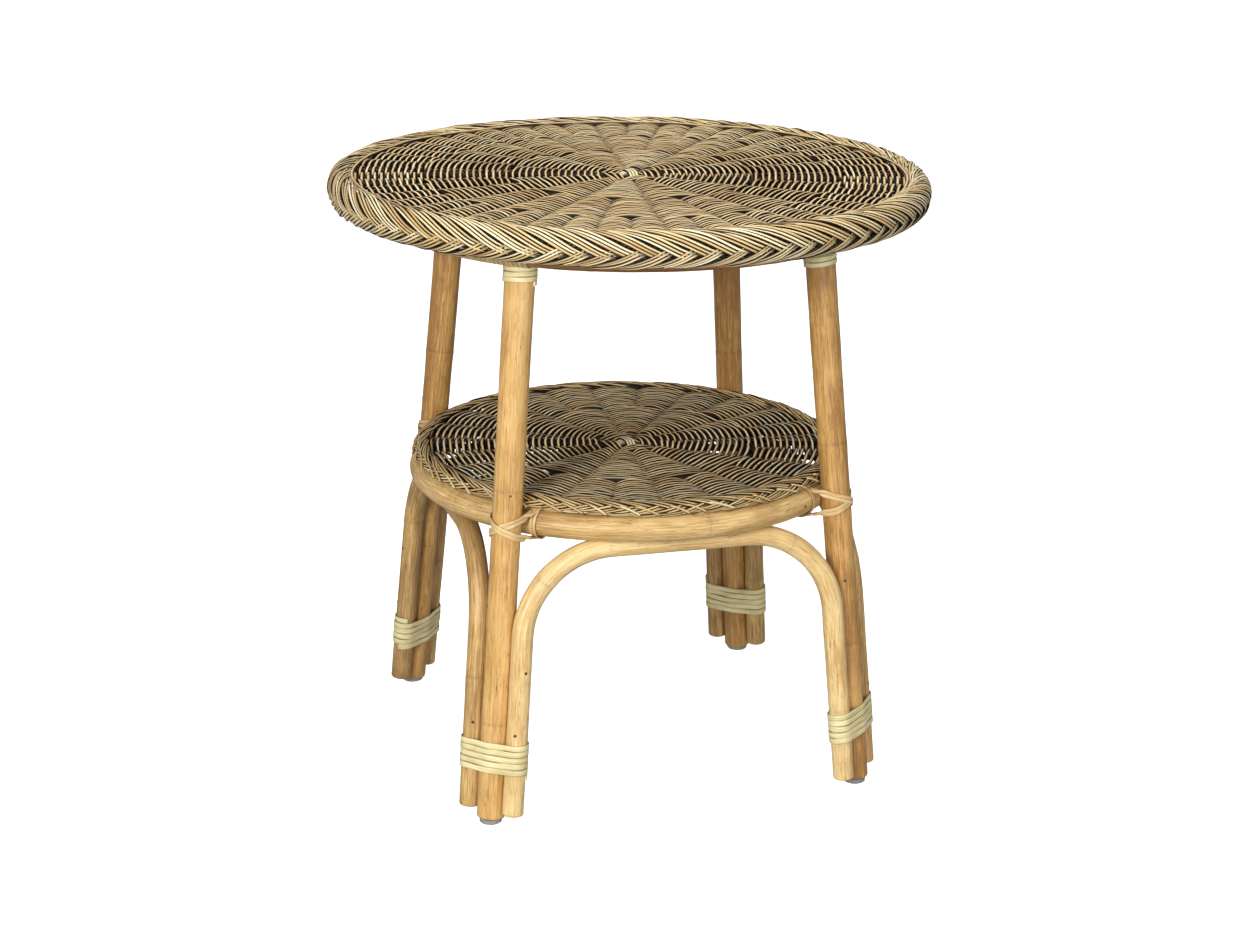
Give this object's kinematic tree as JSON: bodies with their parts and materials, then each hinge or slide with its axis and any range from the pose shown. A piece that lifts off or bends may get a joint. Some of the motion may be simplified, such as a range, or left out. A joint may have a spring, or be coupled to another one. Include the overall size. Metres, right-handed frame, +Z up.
{
  "type": "wicker coffee table",
  "caption": "Round wicker table with a braided woven top, a small woven shelf, splayed rattan legs and bent arch braces bound with flat cane.",
  "frame": {"origin": "on the floor, under the centre of the round top", "axes": "+Z up, the legs on the diagonals between X and Y, each arch facing along X or Y"},
  "size_m": [0.5999, 0.6, 0.603],
  "materials": {
    "leg_pole": "peeled rattan pole, golden tan, satin",
    "arch_pole": "peeled rattan pole with grey-brown streaks, satin",
    "hoop_pole": "stained rattan pole, satin",
    "slat_wood": "plain sawn wood, matt",
    "cane": "flat binding cane, pale cream, satin",
    "top_wicker": "woven rattan core, antique wash, satin",
    "border_wicker": "braided rattan core, antique wash, satin",
    "shelf_wicker": "woven rattan core, darker antique wash, satin",
    "wicker_stake": "rattan core stakes, dark, matt",
    "glide_plastic": "moulded grey plastic, matt",
    "steel": "dull steel"
  },
  "bodies": {
    "root": {"leg_1": "leg_pole", "leg_2": "leg_pole", "leg_3": "leg_pole", "leg_4": "leg_pole", "arch_1": "arch_pole", "arch_2": "arch_pole", "arch_3": "arch_pole", "arch_4": "arch_pole", "glide_1": "glide_plastic", "glide_2": "glide_plastic", "glide_3": "glide_plastic", "glide_4": "glide_plastic", "base_binding_1": "cane", "base_binding_2": "cane", "base_binding_3": "cane", "base_binding_4": "cane", "shelf_lashing_1": "cane", "shelf_lashing_2": "cane", "shelf_lashing_3": "cane", "shelf_lashing_4": "cane", "top_binding_1": "cane", "top_binding_2": "cane", "top_binding_3": "cane", "top_binding_4": "cane", "shelf_ring": "arch_pole", "shelf_stakes": "wicker_stake", "shelf_weave": "shelf_wicker", "shelf_border": "shelf_wicker", "top_hoop": "hoop_pole", "hoop_wrap": "cane", "top_slat_1": "slat_wood", "top_slat_2": "slat_wood", "top_slat_3": "slat_wood", "top_stakes": "wicker_stake", "top_weave": "top_wicker", "top_border": "border_wicker", "hoop_screws": "steel", "ring_screws": "steel", "foot_nails": "steel", "arch_nails": "steel", "slat_nails": "steel", "lashing_tacks": "steel", "top_pins": "steel", "shelf_pins": "steel", "glide_nails": "steel"}
  },
  "joints": []
}
